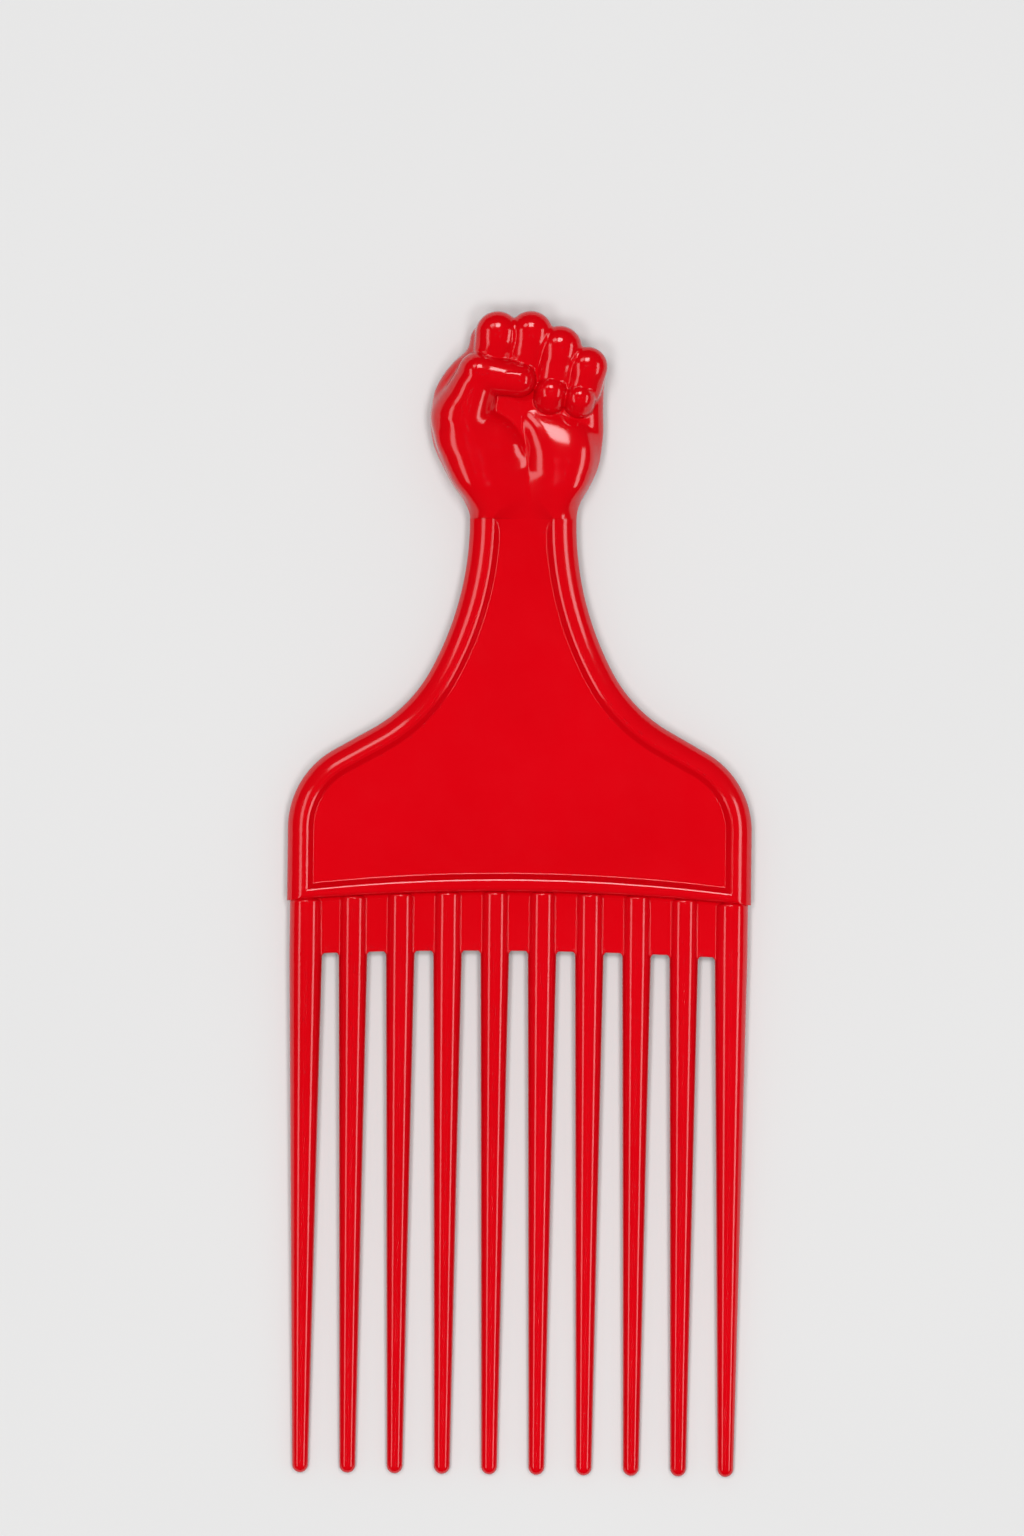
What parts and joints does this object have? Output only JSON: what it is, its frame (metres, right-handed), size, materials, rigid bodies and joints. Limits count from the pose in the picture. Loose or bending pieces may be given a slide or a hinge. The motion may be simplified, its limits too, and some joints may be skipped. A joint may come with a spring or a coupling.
{
  "type": "afro pick",
  "caption": "Moulded hair pick: long round parallel teeth under an arched lip, a flared flat handle edged by a raised bead, and a raised-fist grip.",
  "frame": {"origin": "middle of the pick's width and length, at the level of the fist's back, with the pick lying flat", "axes": "+X across the teeth, +Y from the teeth to the fist, +Z out of the front face, where the palm shows"},
  "size_m": [0.0742, 0.1862, 0.0124],
  "materials": {
    "moulding": "opaque red moulded plastic with a glossy surface"
  },
  "bodies": {
    "root": {"fist": "moulding", "panel": "moulding", "left_rim": "moulding", "right_rim": "moulding", "lip": "moulding", "root_web": "moulding", "tooth_01": "moulding", "tooth_02": "moulding", "tooth_03": "moulding", "tooth_04": "moulding", "tooth_05": "moulding", "tooth_06": "moulding", "tooth_07": "moulding", "tooth_08": "moulding", "tooth_09": "moulding", "tooth_10": "moulding"}
  },
  "joints": []
}
